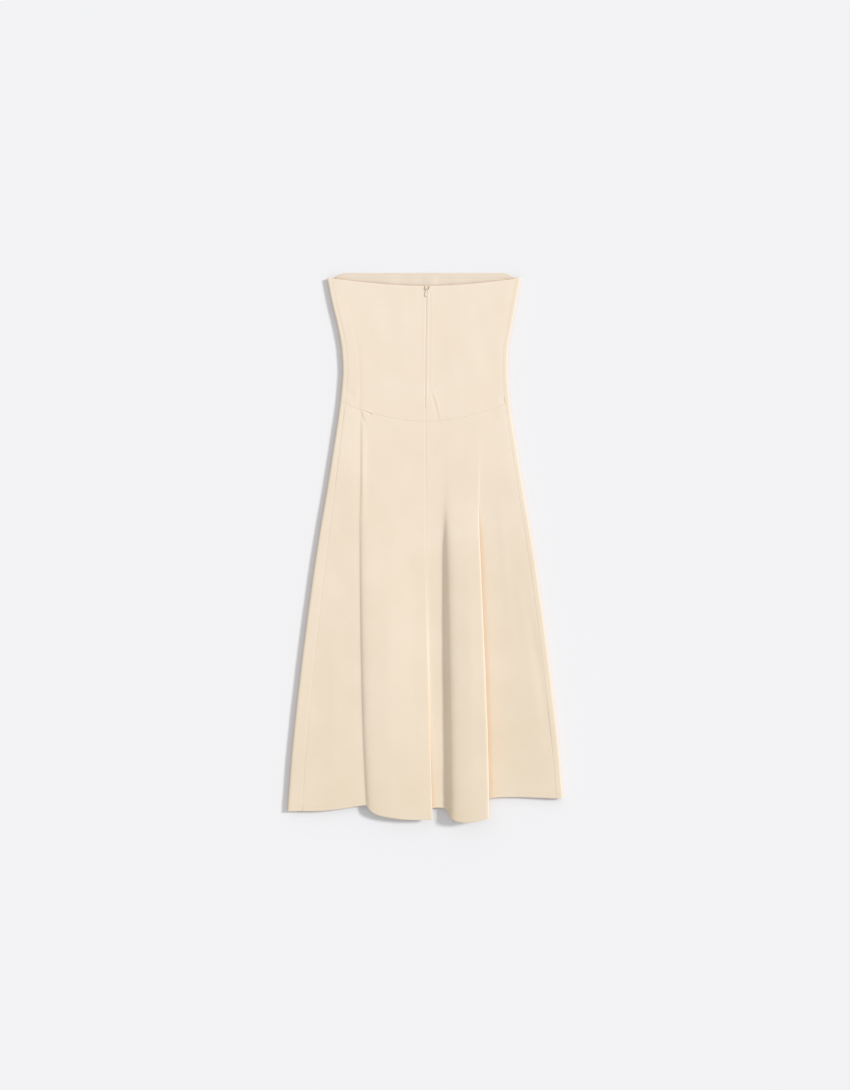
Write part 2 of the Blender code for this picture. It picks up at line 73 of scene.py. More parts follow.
# One row for each fold of the ring: side says what its x counts from, the centre line or that side's edge.
# z is the middle of the wall above the table, and hem is where the hem crosses the fold.
Fold = namedtuple("Fold", "name side x_neck x_waist x_knee x_hem z_neck z_waist z_hip z_knee z_hem hem")
RING = [
    Fold("left_side_seam", "left", 8, 10, 20, 28, 8.8, 9.0, 9.2, 9.2, 9.8, -527),
    Fold("left_panel", "centre", -181, -154, -178, -212, 8.8, 9.0, 9.2, 9.3, 10.4, -528),
    Fold("left_inner", "centre", -177, -146, -155, -168, 8.8, 8.9, 9.2, 9.5, 11.2, -523),
    Fold("brink_a", "centre", -172, -138, -140, -128, 8.8, 8.8, 9.0, 9.6, 11.8, -516),
    Fold("valley_a", "centre", -166, -132, -131.5, -116.5, 8.7, 8.5, 8.6, 9.4, 11.6, -515),
    Fold("corner_a", "centre", -164, -130.5, -130, -114.5, 8.7, 8.5, 8.8, 9.8, 12.4, -517),
    Fold("flank_a", "centre", -161, -127, -127, -110.5, 8.6, 8.9, 9.8, 11.9, 16.0, -524),
    Fold("shoulder_1", "centre", -150, -116, -116, -98, 8.5, 8.9, 10.0, 12.6, 18.6, -534),
    Fold("crest_1a", "centre", -110, -88, -84, -66, 8.3, 8.9, 9.9, 12.2, 19.8, -540),
    Fold("crest_1b", "centre", -62, -48, -46, -34, 8.1, 8.9, 9.7, 11.2, 19.8, -543.5),
    Fold("crest_1c", "centre", -26, -20, -17, -4, 8.0, 8.9, 9.5, 10.2, 19.2, -543.5),
    Fold("edge_1", "centre", -8, -6, -2, 10, 8.0, 8.9, 9.4, 9.7, 18.8, -543),
    Fold("brink_1", "centre", -1, -2, 0.6, 14.2, 8.0, 8.9, 9.4, 9.6, 18.6, -542.5),
    Fold("centre_back", "centre", 3.2, 0.2, 2.0, 14.8, 8.0, 8.9, 9.3, 9.5, 17.4, -541),
    Fold("under_1", "centre", 11, 6.5, 5.0, 9.6, 8.0, 8.8, 9.2, 9.2, 13.8, -530),
    Fold("foot_1", "centre", 20, 13, 9.0, 9.0, 8.0, 8.7, 9.0, 8.9, 11.2, -522),
    Fold("valley_b", "centre", 30, 21, 17, 20, 8.0, 8.6, 8.9, 8.6, 10.2, -520),
    Fold("floor_b", "centre", 40, 30, 27, 34, 8.0, 8.6, 8.8, 8.4, 9.6, -520),
    Fold("flank_b", "centre", 51, 40, 38.5, 46.5, 8.0, 8.6, 8.9, 8.4, 10.0, -524),
    Fold("rise_b", "centre", 62, 48, 42, 49, 8.0, 8.7, 9.8, 14.5, 19.0, -538),
    Fold("shoulder_2", "centre", 75, 57, 50, 57, 8.1, 8.8, 10.2, 19.2, 26.4, -545),
    Fold("crest_2", "centre", 95, 77, 74, 84, 8.2, 8.9, 10.3, 20.2, 28.4, -548.5),
    Fold("edge_2", "centre", 111, 92, 95, 110, 8.3, 8.9, 10.3, 20.4, 28.8, -544),
    Fold("brink_2", "centre", 121, 100, 105, 122, 8.4, 8.9, 10.2, 20.3, 28.8, -540),
    Fold("corner_2", "centre", 127, 104.5, 108.8, 126.8, 8.4, 8.9, 10.0, 20.2, 28.6, -539),
    Fold("nose_2", "centre", 130, 106, 109.8, 127.8, 8.4, 8.9, 9.8, 17.8, 25.4, -537),
    Fold("under_2", "centre", 138, 112, 104.5, 120, 8.5, 8.8, 9.2, 12.4, 16.0, -523),
    Fold("foot_2", "centre", 146, 119, 104, 118, 8.5, 8.7, 8.8, 7.8, 7.6, -506),
    Fold("right_inner", "centre", 155, 130, 117, 134, 8.6, 8.6, 8.6, 7.6, 7.4, -500),
    Fold("right_panel", "centre", 165, 144, 152, 192, 8.6, 8.6, 8.6, 8.0, 8.2, -499),
    Fold("right_ridge", "centre", 174, 153, 184, 240, 8.4, 8.6, 8.8, 9.4, 10.8, -501),
    Fold("right_side_seam", "right", -9, -9, -9, -9, 8.0, 8.2, 8.6, 9.6, 11.2, -502),
    Fold("right_corner", "right", -0.8, -0.8, -0.8, -0.8, 7.9, 8.1, 8.5, 9.5, 11.0, -502),
    Fold("right_roll_high", "right", 0.2, 0.2, 0.2, 0.2, 7.0, 7.2, 7.6, 8.6, 10.0, -502),
    Fold("right_roll_low", "right", 0.2, 0.2, 0.2, 0.2, 1.6, 1.6, 1.6, 1.6, 1.6, -502),
    Fold("right_floor_edge", "right", -6, -6, -6, -6, 0.75, 0.75, 0.75, 0.75, 0.75, -501),
    Fold("right_floor", "right", -20, -20, -22, -24, 0.75, 0.75, 0.75, 0.75, 0.75, -500),
    Fold("floor_1", "centre", 110, 90, 110, 140, 0.75, 0.75, 0.75, 0.75, 0.75, -501),
    Fold("floor_2", "centre", 40, 30, 36, 45, 0.75, 0.75, 0.75, 0.75, 0.75, -506),
    Fold("floor_3", "centre", -40, -30, -36, -45, 0.75, 0.75, 0.75, 0.75, 0.75, -511),
    Fold("floor_4", "centre", -110, -90, -110, -140, 0.75, 0.75, 0.75, 0.75, 0.75, -517),
    Fold("left_floor", "left", 20, 20, 22, 24, 0.75, 0.75, 0.75, 0.75, 0.75, -523),
    Fold("left_floor_edge", "left", 6, 6, 6, 6, 0.75, 0.75, 0.75, 0.75, 0.75, -527),
    Fold("left_roll_low", "left", -0.2, -0.2, -0.2, -0.2, 1.7, 1.7, 1.7, 1.7, 1.7, -528),
    Fold("left_roll_high", "left", -0.2, -0.2, -0.2, -0.2, 8.2, 8.4, 8.6, 8.8, 9.4, -528),
    Fold("left_corner", "left", 1.2, 1.2, 1.2, 1.2, 8.8, 9.0, 9.2, 9.5, 10.1, -528),
]
AT = {fold.name: index for index, fold in enumerate(RING)}
LEFT_SEAM, CENTRE_BACK, RIGHT_SEAM = AT["left_side_seam"], AT["centre_back"], AT["right_side_seam"]
RING_END = len(RING)

CORNER_Y, BACK_NECK_DIP, BACK_NECK_HALF, BACK_NECK_POWER = 539.5, 16.0, 192.0, 1.8
FRONT_RISE, FRONT_RISE_FROM, FRONT_RISE_WIDTH = 11.0, 4.0, 32.0
WAIST_MIDDLE_Y, WAIST_SIDE_RISE, WAIST_HALF, WAIST_POWER = 252.0, 39.0, 170.0, 1.9
SLIT_OPEN, SLIT_OPEN_FROM_Y, SLIT_OPEN_TO_Y = 8.4, 512.0, 520.5
SLIT_CLOSED = 0.2
ZIP_END_Y = 276.0
FACING_BELOW_EDGE, FACING_DEPTH, FACING_SIDE_INSET, SEAM_GAP = 3.0, 42.0, 16.0, 0.3

# Cloth shells
SHELL = 0.9
ROW_STEP, TABLE_ROW_STEP = 4.2, 6.8
COLUMN_STEP, FLOOR_STEP = 2.3, 7.0
WAIST_DIP, SIDE_DIP, CENTRE_DIP, SEAM_WIDTH = 0.22, 0.14, 0.25, 1.5
EDGE_DIP = 0.45
SLIT_SPREAD = 9.0

# Hem turned up once and stitched, and the facing understitched near the neckline
HEM_TURN, HEM_TURN_LIFT, HEM_STITCH_UP, HEM_STITCH_DIP = 8.5, 0.25, 7.0, 0.35
HEM_LINE_POINTS, HEM_LINE_INSET = 1500, 0.06
STITCH_PITCH, STITCH_LENGTH, STITCH_RADIUS = 3.0, 2.3, 0.22
ROD_SIDES = 6
ROD_FORM = [(0.0, 0.25), (0.15, 0.8), (0.5, 1.0), (0.85, 0.8), (1.0, 0.25)]
SOLID_FACING, FACING_COLUMNS, FACING_RIPPLE = 1.0, 150, 0.9
UNDERSTITCH_DOWN, UNDERSTITCH_DIP = 11.0, 0.5

# Zip tape and coil
SOLID_TAPE, TAPE_HALF, TAPE_NOTCH_HALF, TAPE_APART = 1.0, 13.0, 4.6, 0.3
TAPE_TOP_Y, TAPE_NOTCH_Y, TAPE_END_Y = 520.0, 507.0, 262.0
TAPE_ROWS, TAPE_COLUMNS, NOTCH_BLEND = 90, 7, 4.0
COIL_PITCH, COIL_RADIUS, COIL_DEPTH, COIL_REACH = 1.5, 0.5, 1.4, (0.1, 2.4)

# Painted shade on the cloth: how much deeper its tone is painted per metre towards the hem
CLOTH_HEM_SHADE = 0.6
# Painted shade in hollows: the colour painted there, how far in metres it reaches, and the occlusion at which it is
# full and at which it ends
FOLD_SHADE_COLOUR = (0.66, 0.46, 0.28)
FOLD_SHADE_REACH, FOLD_SHADE_DEEP, FOLD_SHADE_OPEN = 0.022, 0.25, 0.85


def smooth_step(value):
    share = np.clip(value, 0.0, 1.0)
    return share * share * (3 - 2 * share)


def monotone(places, values):
    """A smooth curve through values at rising places, with no overshoot, for arrays of places."""
    places, values = np.array(places, float), np.array(values, float)
    steps, slopes = np.diff(places), np.diff(values) / np.diff(places)
    tangents = [slopes[0]]
    for before, after, h_before, h_after in zip(slopes, slopes[1:], steps, steps[1:]):
        w_before, w_after = 2 * h_after + h_before, h_after + 2 * h_before
        same_way = before * after > 0
        tangents.append((w_before + w_after) / (w_before / before + w_after / after) if same_way else 0.0)
    tangents = np.array(tangents + [slopes[-1]])

    def at(place):
        place = np.asarray(place, float)
        inside = np.clip(place, places[0], places[-1])
        k = np.clip(np.searchsorted(places, inside, side="left") - 1, 0, len(steps) - 1)
        s = (inside - places[k]) / steps[k]
        curve = (
            values[k] * (1 + 2 * s) * (1 - s) ** 2
            + tangents[k] * steps[k] * s * (1 - s) ** 2
            + values[k + 1] * s * s * (3 - 2 * s)
            + tangents[k + 1] * steps[k] * s * s * (s - 1)
        )
        beyond = place - inside
        return curve + beyond * np.where(beyond < 0, tangents[0], tangents[-1])

    return at


rising = sorted(OUTLINE)
outline_left = monotone([e.y for e in rising], [e.left for e in rising])
outline_right = monotone([e.y for e in rising], [e.right for e in rising])


def half_width(y):
    return (outline_right(y) - outline_left(y)) / 2


def fold_x(fold):
    """Where a fold lies across the dress, as a function of the height."""
    stated = [
        (HEM_Y, fold.x_hem), (KNEE_Y, fold.x_knee), (WAIST_Y, fold.x_waist), (NECK_Y, fold.x_neck),
    ]
    if fold.side == "centre":
        share = monotone([y for y, x in stated], [x / half_width(y) for y, x in stated])
        return lambda y: share(y) * half_width(y)
    edge = outline_left if fold.side == "left" else outline_right
    offset = monotone([y for y, x in stated], [x for y, x in stated])
    return lambda y: edge(y) + offset(y)


FOLD_X = [fold_x(fold) for fold in RING]
FOLD_Z = [
    monotone([HEM_Y, KNEE_Y, HIP_Y, WAIST_Y, NECK_Y], [f.z_hem, f.z_knee, f.z_hip, f.z_waist, f.z_neck])
    for f in RING
]


def along_ring(u, per_fold):
    """The cubic B-spline through per_fold, one row of values for each fold, at ring positions u."""
    first = np.floor(u).astype(int)
    s = u - first
    weights = [(1 - s) ** 3, 3 * s**3 - 6 * s * s + 4, -3 * s**3 + 3 * s * s + 3 * s + 1, s**3]
    columns = np.arange(u.size)
    total = np.zeros(u.size)
    for k, weight in enumerate(weights):
        total += weight / 6 * per_fold[(first + k - 1) % RING_END, columns]
    return total


def cloth_point(u, y):
    """The middle of the solid's wall, in mm, for arrays of ring positions and heights."""
    shape = np.broadcast(u, y).shape
    u, y = (np.broadcast_to(a, shape).astype(float).ravel() for a in (u, y))
    x = along_ring(u, np.array([curve(y) for curve in FOLD_X]))
    z = along_ring(u, np.array([curve(y) for curve in FOLD_Z]))
    return np.stack([x, y - MIDDLE_Y, z], axis=-1).reshape(*shape, 3)


def cloth_normal(u, y):
    across = (cloth_point(u + 0.01, y) - cloth_point(u - 0.01, y)) / 0.02
    along = cloth_point(u, y + 0.5) - cloth_point(u, y - 0.5)
    normal = np.cross(across, along)
    return normal / np.linalg.norm(normal, axis=-1, keepdims=True), np.linalg.norm(across, axis=-1)


def neck_y(u, back):
    x = cloth_point(u, NECK_Y)[..., 0]
    if back:
        share = np.minimum(1.0, np.abs(x) / BACK_NECK_HALF)
        return CORNER_Y - BACK_NECK_DIP * (1 - share**BACK_NECK_POWER)
    inside = np.minimum(x - outline_left(NECK_Y), outline_right(NECK_Y) - x)
    return CORNER_Y + FRONT_RISE * smooth_step((inside - FRONT_RISE_FROM) / FRONT_RISE_WIDTH)


def waist_y(u):
    x = cloth_point(u, WAIST_Y)[..., 0]
    return WAIST_MIDDLE_Y + WAIST_SIDE_RISE * np.minimum(1.0, np.abs(x) / WAIST_HALF) ** WAIST_POWER


def hem_y(u):
    hems = np.array([fold.hem for fold in RING], float)
    return along_ring(u, np.repeat(hems[:, None], u.size, axis=1))


def slit_gap(y):
    opened = smooth_step((y - SLIT_OPEN_FROM_Y) / (SLIT_OPEN_TO_Y - SLIT_OPEN_FROM_Y))
    closed = SLIT_CLOSED * smooth_step((y - ZIP_END_Y) / 6.0)
    return closed + (SLIT_OPEN - SLIT_CLOSED) * opened


# Creases of the back: soft ridges (depth above 0) and troughs, each a bowed line across a panel, in mm
Crease = namedtuple("Crease", "x1 y1 x2 y2 bow width depth")
BACK_CREASES = [
    # The left flute's crisp line, up to the pucker at the waist seam
    Crease(-129, 268, -129.5, 60, 0, 2.0, -0.9),
    Crease(-124, 262, -124, 40, 0, 5.5, 0.8),
    # Pucker at the left end of the waist seam's middle stretch
    Crease(-119, 274, -105, 267, 1.0, 1.6, 0.9),
    Crease(-115, 268, -106, 267, 0.5, 2.0, -1.5),
    Crease(-129, 275, -117, 247, -3, 2.2, -0.7),
    Crease(-124, 275, -112, 250, -3, 2.6, 0.5),
    # Pull from the end of the zip across the waist seam
    Crease(9, 318, 27, 246, 2, 2.4, -0.4),
    Crease(15, 316, 33, 250, 2, 3.0, 0.35),
    # Slack at the sides of the waist
    Crease(-168, 318, -140, 300, 2, 6, -0.45),
    Crease(-166, 262, -142, 272, 2, 5, 0.45),
    Crease(150, 300, 168, 292, -2, 5, -0.45),
    Crease(140, 262, 168, 274, -1, 6, 0.4),
    # Long soft undulations of the right panel
    Crease(196, -60, 252, -420, 5, 12, -0.9),
    Crease(205, -90, 262, -370, 6, 12, 0.6),
    Crease(150, 120, 176, -210, -3, 10, 0.35),
    # Bodice
    Crease(90, 500, 132, 330, 3, 14, -0.3),
    Crease(-80, 520, -60, 330, -3, 16, -0.25),
    Crease(40, 420, 70, 290, 3, 12, 0.25),
    # Lobes
    Crease(-60, 150, -70, -500, -6, 16, 0.35),
    Crease(-30, 60, -24, -430, 4, 14, -0.3),
    Crease(84, 60, 92, -500, 3, 12, 0.3),
    Crease(-205, 60, -222, -420, -4, 15, -0.4),
    Crease(-180, -120, -186, -500, 3, 14, 0.4),
    # Wrinkles at the hem, where the cloth turns under the right flute
    Crease(36, -494, 50, -512, 1, 1.8, -0.9),
    Crease(40, -486, 53, -500, 1, 1.6, -0.7),
]
# The underside lies flat, so its creases are all shallow troughs
FRONT_CREASES = [
    Crease(-120, 180, -150, -480, 6, 9, -0.35),
    Crease(-40, 200, -52, -460, -5, 11, -0.3),
    Crease(50, 190, 66, -470, 5, 9, -0.35),
    Crease(140, 120, 180, -440, -5, 10, -0.3),
    Crease(-90, 500, -70, 300, 4, 9, -0.25),
    Crease(80, 500, 96, 320, -4, 9, -0.25),
]


def creases_at(x, y, creases):
    height = np.zeros_like(x)
    for c in creases:
        run = np.array([c.x2 - c.x1, c.y2 - c.y1], float)
        length = np.hypot(*run)
        run /= length
        along = ((x - c.x1) * run[0] + (y - c.y1) * run[1]) / length
        aside = (x - c.x1) * -run[1] + (y - c.y1) * run[0]
        inside = np.clip(along, 0, 1)
        arch = 4 * inside * (1 - inside)
        height += c.depth * arch**0.7 * np.exp(-(((aside - c.bow * arch) / c.width) ** 2))
    return height


# Unevenness of the cloth: waves that never line up, each with its length and direction, in mm and degrees
Wave = namedtuple("Wave", "length degrees phase height")
WAVES = [
    Wave(143, 12, 0.3, 0.17),
    Wave(97, 71, 1.9, 0.11),
    Wave(61, 33, 4.1, 0.065),
    Wave(43, 118, 2.7, 0.04),
    Wave(29, 158, 5.2, 0.02),
    Wave(17, 84, 0.9, 0.010),
]
WAVE_SUM = sum(wave.height for wave in WAVES)
# How far each wave's front bends, in radians, and the length of that bend as a share of the wave's
WAVE_BEND, WAVE_BEND_LENGTH = 0.6, 0.41


def unevenness_at(x, y):
    height = np.zeros_like(x)
    for w in WAVES:
        turn = math.radians(w.degrees)
        path = x * math.cos(turn) + y * math.sin(turn)
        across = x * math.sin(turn) - y * math.cos(turn)
        bend = WAVE_BEND * np.sin(across / (w.length * WAVE_BEND_LENGTH) + w.phase)
        height += w.height * np.sin(2 * math.pi * path / w.length + bend + w.phase)
    return height


def bump_at(distance, height, width):
    """A soft ridge, or a groove where height is below 0, about distance 0."""
    return height * np.exp(-((distance / width) ** 2))


def form_at(x, y, back):
    """How far the cloth's creases and unevenness raise its outer face, in mm."""
    if back:
        return creases_at(x, y, BACK_CREASES) + unevenness_at(x, y)
    return creases_at(x, y, FRONT_CREASES) + 0.4 * (unevenness_at(x, y) - WAVE_SUM)


def zip_relief(aside, y):
    """The cloth beside the closed zip: ribs over the tape, and the fine line of the lap."""
    reach = smooth_step((y - 288) / 20) * smooth_step((522 - y) / 10)
    ribs = bump_at(aside - 3.2, 0.16, 2.0) + bump_at(aside - 10.6, 0.12, 2.0) + bump_at(aside + 3.0, 0.1, 2.0)
    return reach * (ribs + bump_at(aside - 7.4, -0.2, 1.1))


def shell(name, outer, inner):
    """A closed thin shell between two grids of points in mm, rows by columns."""
    rows, columns = outer.shape[:2]
    points = np.concatenate([outer.reshape(-1, 3), inner.reshape(-1, 3)]) * MM
    grid = np.arange(rows * columns).reshape(rows, columns)
    under = grid + rows * columns

    def quads(a, b, c, d):
        return np.stack([a, b, c, d], axis=-1).reshape(-1, 4)

    faces = np.concatenate([
        quads(grid[:-1, :-1], grid[1:, :-1], grid[1:, 1:], grid[:-1, 1:]),
        quads(under[:-1, :-1], under[:-1, 1:], under[1:, 1:], under[1:, :-1]),
        quads(grid[0, :-1], grid[0, 1:], under[0, 1:], under[0, :-1]),
        quads(grid[-1, 1:], grid[-1, :-1], under[-1, :-1], under[-1, 1:]),
        quads(grid[1:, 0], grid[:-1, 0], under[:-1, 0], under[1:, 0]),
        quads(grid[:-1, -1], grid[1:, -1], under[1:, -1], under[:-1, -1]),
    ])
    return mesh_object(name, points, faces.tolist())


def mesh_object(name, points, faces):
    mesh = bpy.data.meshes.new(name)
    mesh.from_pydata(points.tolist(), [], faces)
    mesh.shade_smooth()
    mesh.update()
    obj = bpy.data.objects.new(name, mesh)
    bpy.context.scene.collection.objects.link(obj)
    return obj


def ring_columns(start, end):
    """Ring positions from start to end, about COLUMN_STEP apart at the widest, wider on the table."""
    places = []
    for fold in range(start, end):
        ends = np.array([fold, fold + 1.0])
        lengths = [
            np.linalg.norm(np.diff(cloth_point(ends, y), axis=0)) for y in (HEM_Y + 20, WAIST_Y, NECK_Y)
        ]
        on_table = "floor" in RING[fold].name and "edge" not in RING[fold].name
        steps = max(3, math.ceil(max(lengths) / (FLOOR_STEP if on_table else COLUMN_STEP)))
        places += [fold + k / steps for k in range(steps)]
    return with_close_ends(np.array(places + [float(end)]))


def with_close_ends(columns):
    """Adds columns close to both seams, so that the dip beside each seam is smooth."""
    first, last = columns[1] - columns[0], columns[-1] - columns[-2]
    near = np.array([0.2, 0.4, 0.65])
    after_first, before_last = columns[0] + first * near, columns[-1] - last * near[::-1]
    return np.concatenate([columns[:1], after_first, columns[1:-1], before_last, columns[-1:]])


def row_shares(length, step):
    """Shares from one edge to the other, finer at both edges, where the cloth turns and seams dip."""
    near = np.array([0, 0.7, 1.4, 2.2, 3.2, 4.6, 6.0, 7.4, 9.0]) / length
    middle = np.linspace(near[-1], 1 - near[-1], max(4, round(length / step)))
    return np.concatenate([near[:-1], middle, 1 - near[-2::-1]])


Panel = namedtuple("Panel", "start end slit_side")
PANELS = {
    "back_left": Panel(LEFT_SEAM, CENTRE_BACK, -1),
    "back_right": Panel(CENTRE_BACK, RIGHT_SEAM, 1),
    "front": Panel(RIGHT_SEAM, RING_END, 0),
}


def clear_of_slit(u, y, side):
    """Ring positions moved aside from the centre back, where the seam opens for the zip."""
    _, spacing = cloth_normal(u, y)
    near = bump_at(np.abs(u - CENTRE_BACK) * spacing, 1.0, SLIT_SPREAD)
    return u + side * near * slit_gap(y) / 2 / spacing


def cloth_panel(part, half):
    """One panel: a stretch of the ring, with its creases, seam dips and turned edges."""
    start, end, slit_side = PANELS[part]
    back, bodice = part != "front", half == "bodice"
    columns = ring_columns(start, end)
    edges = [neck_y(columns, back), waist_y(columns), hem_y(columns)]
    top, bottom = edges[:2] if bodice else edges[1:]
    shares = row_shares(float(np.max(top - bottom)), ROW_STEP if back else TABLE_ROW_STEP)
    y = top + (bottom - top) * shares[:, None]
    u = np.broadcast_to(columns, y.shape)
    if bodice and slit_side:
        u = clear_of_slit(u, y, slit_side)
    normal, _ = cloth_normal(u, y)
    middle = cloth_point(u, y)
    steps = np.linalg.norm(np.diff(middle, axis=1), axis=-1)
    from_start = np.concatenate([np.zeros((len(shares), 1)), np.cumsum(steps, axis=1)], axis=1)
    to_end = from_start[:, -1:] - from_start
    form = form_at(middle[..., 0], y, back)
    start_dip, end_dip = (SIDE_DIP, CENTRE_DIP) if slit_side < 0 else (CENTRE_DIP, SIDE_DIP)
    if not back:
        start_dip = SIDE_DIP
    relief = form - bump_at(from_start, start_dip, SEAM_WIDTH) - bump_at(to_end, end_dip, SEAM_WIDTH)
    relief -= bump_at(top - y, EDGE_DIP if bodice else WAIST_DIP, SEAM_WIDTH)
    relief -= bump_at(y - bottom, WAIST_DIP if bodice else EDGE_DIP, SEAM_WIDTH)
    if bodice and slit_side:
        relief += zip_relief(from_start if slit_side > 0 else -to_end, y)
    if not bodice:
        above_hem = y - bottom
        turned = HEM_TURN_LIFT * smooth_step((HEM_TURN - above_hem) / 1.5) if back else 0.0
        relief += turned - bump_at(above_hem - HEM_STITCH_UP, HEM_STITCH_DIP, 0.9)
    outer = middle + normal * (SOLID_WALL / 2 + relief)[..., None]
    inner = middle + normal * (SOLID_WALL / 2 - SHELL + form)[..., None]
    return shell(f"{half}_{part}_cloth", outer, inner)


def rods(name, heads, tails, radius):
    """Short rods of thread or coil, pinched at both ends, between rows of points in mm."""
    run = tails - heads
    run /= np.linalg.norm(run, axis=-1, keepdims=True)
    side = np.cross(run, [0.0, 0.0, 1.0])
    side /= np.linalg.norm(side, axis=-1, keepdims=True)
    lift = np.cross(side, run)
    around = (np.arange(ROD_SIDES) * 2 * math.pi / ROD_SIDES)[:, None]
    ring = side[:, None] * np.cos(around) + lift[:, None] * np.sin(around)
    points = np.stack([
        (heads + (tails - heads) * along)[:, None] + ring * (radius * girth) for along, girth in ROD_FORM
    ], axis=1)
    index = np.arange(points.size // 3).reshape(points.shape[:3])
    ahead = np.roll(index, -1, axis=2)
    walls = np.stack([index[:, :-1], ahead[:, :-1], ahead[:, 1:], index[:, 1:]], axis=-1).reshape(-1, 4)
    ends = np.concatenate([index[:, 0, ::-1], index[:, -1, :]])
    return mesh_object(name, points.reshape(-1, 3) * MM, walls.tolist() + ends.tolist())


def stitch_row(name, line, radius):
    """Stitches along a line of points in mm, at an even pitch."""
    lengths = np.concatenate([[0.0], np.cumsum(np.linalg.norm(np.diff(line, axis=0), axis=-1))])
    centres = np.arange(STITCH_PITCH / 2, lengths[-1], STITCH_PITCH)
    heads, tails = (
        np.stack([np.interp(centres + end, lengths, line[:, k]) for k in range(3)], axis=-1)
        for end in (-STITCH_LENGTH / 2, STITCH_LENGTH / 2)
    )
    return rods(name, heads, tails, radius)


def hem_stitches(part):
    start, end, _ = PANELS[part]
    back = part != "front"
    u = np.linspace(start + HEM_LINE_INSET, end - HEM_LINE_INSET, HEM_LINE_POINTS)
    y = hem_y(u) + HEM_STITCH_UP
    middle, (normal, _) = cloth_point(u, y), cloth_normal(u, y)
    raised = form_at(middle[..., 0], y, back) + (HEM_TURN_LIFT if back else 0.0)
    line = middle + normal * (SOLID_WALL / 2 + raised - HEM_STITCH_DIP + STITCH_RADIUS * 0.6)[..., None]
    return stitch_row(f"hem_stitches_{part}", line, STITCH_RADIUS)


def facing_face(u, y, depth):
    """A point on the facing, depth mm below its top face, which lies inside the front's neckline."""
    middle, (normal, _) = cloth_point(u, y), cloth_normal(u, y)
    x, down = middle[..., 0], neck_y(u, False) - y
    ripple = np.sin(x / 13.0 + 2.2 * np.sin(x / 41.0)) * np.sin(x / 29.0 + 0.7) * np.sin(math.pi * down / FACING_DEPTH)
    raised = FACING_RIPPLE * np.maximum(ripple, -0.3) - bump_at(down - UNDERSTITCH_DOWN, UNDERSTITCH_DIP, 0.9)
    return middle - normal * (SOLID_WALL / 2 + SEAM_GAP + SOLID_FACING + raised - depth)[..., None]


def facing_span():
    """Ring positions between the facing's two ends, at even steps across the dress."""
    first, last = AT["right_floor_edge"] - 1, AT["left_floor_edge"] + 1
    u = np.linspace(first, last, 2000)
    x = cloth_point(u, NECK_Y)[:, 0]
    right_x = float(outline_right(NECK_Y)) - FACING_SIDE_INSET
    left_x = float(outline_left(NECK_Y)) + FACING_SIDE_INSET
    return np.interp(-np.linspace(right_x, left_x, FACING_COLUMNS), -x, u)


def make_facing():
    columns = facing_span()
    top = neck_y(columns, False) - FACING_BELOW_EDGE
    y = top - (FACING_DEPTH - FACING_BELOW_EDGE) * row_shares(FACING_DEPTH, 2.0)[:, None]
    u = np.broadcast_to(columns, y.shape)
    piece = shell("neck_facing_front_cloth", facing_face(u, y, SOLID_FACING), facing_face(u, y, 0.0))
    inset = columns[2:-2]
    line = facing_face(inset, neck_y(inset, False) - UNDERSTITCH_DOWN, -0.1)
    return piece, stitch_row("facing_understitch", line, STITCH_RADIUS)


def beside_seam(aside, y, depth):
    """A point aside of the centre back seam, depth mm below the face of the zip's tape."""
    aside, y = np.broadcast_arrays(aside, y)
    u = np.full(y.shape, float(CENTRE_BACK))
    target = cloth_point(u, y)[..., 0] + aside
    for _ in range(6):
        per_step = (cloth_point(u + 0.01, y) - cloth_point(u - 0.01, y))[..., 0] / 0.02
        u = u + (target - cloth_point(u, y)[..., 0]) / per_step
    middle, (normal, _) = cloth_point(u, y), cloth_normal(u, y)
    return middle - normal * (SOLID_WALL / 2 + SEAM_GAP + depth)


def make_zip_tape():
    """Both woven tapes behind the centre back seam, each with its coil of teeth on the inside."""
    y = np.linspace(TAPE_TOP_Y, TAPE_END_Y, TAPE_ROWS)[:, None]
    coil_y = np.arange(TAPE_END_Y + 3, TAPE_NOTCH_Y, COIL_PITCH)
    tapes, coils = [], []
    for side, name in ((-1, "left"), (1, "right")):
        notch = TAPE_NOTCH_HALF * smooth_step((y - TAPE_NOTCH_Y) / NOTCH_BLEND)
        aside = TAPE_APART + notch + (TAPE_HALF - TAPE_APART - notch) * np.linspace(0, 1, TAPE_COLUMNS)
        outer, inner = beside_seam(side * aside, y, 0.0), beside_seam(side * aside, y, SOLID_TAPE)
        if side < 0:
            outer, inner = outer[:, ::-1], inner[:, ::-1]
        tapes.append(shell(f"zip_tape_{name}", outer, inner))
        across = [beside_seam(np.full(coil_y.size, side * reach), coil_y, COIL_DEPTH) for reach in COIL_REACH]
        coils.append(rods(f"zip_coil_{name}", *across, COIL_RADIUS))
    return tapes, coils


# Flat cuts of the pieces, in mm: the rectangle each is cut from, and its own area as a share of that.
# Four widths date from an earlier form of the folds and are wider than the solids now measure along the
# cloth: skirt backs 258 and 282, bodice backs 183 and 174.
Cut = namedtuple("Cut", "width length share")


def new_material(name, roughness, specular):
    made = bpy.data.materials.new(name)
    made.use_nodes = True
    shader = made.node_tree.nodes["Principled BSDF"]
    shader.inputs["Roughness"].default_value = roughness
    shader.inputs["Specular IOR Level"].default_value = specular
    return made, made.node_tree.nodes, made.node_tree.links, shader


def add_node(nodes, kind, **inputs):
    node = nodes.new(kind)
    for key, value in inputs.items():
        node.inputs[key.replace("_", " ")].default_value = value
    return node


def weighed(nodes, links, value, weight, plus):
    """value times weight, plus another value."""
    node = nodes.new("ShaderNodeMath")
    node.operation = "MULTIPLY_ADD"
    node.inputs[1].default_value = weight
    links.new(value, node.inputs[0])
    links.new(plus, node.inputs[2])
    return node.outputs["Value"]


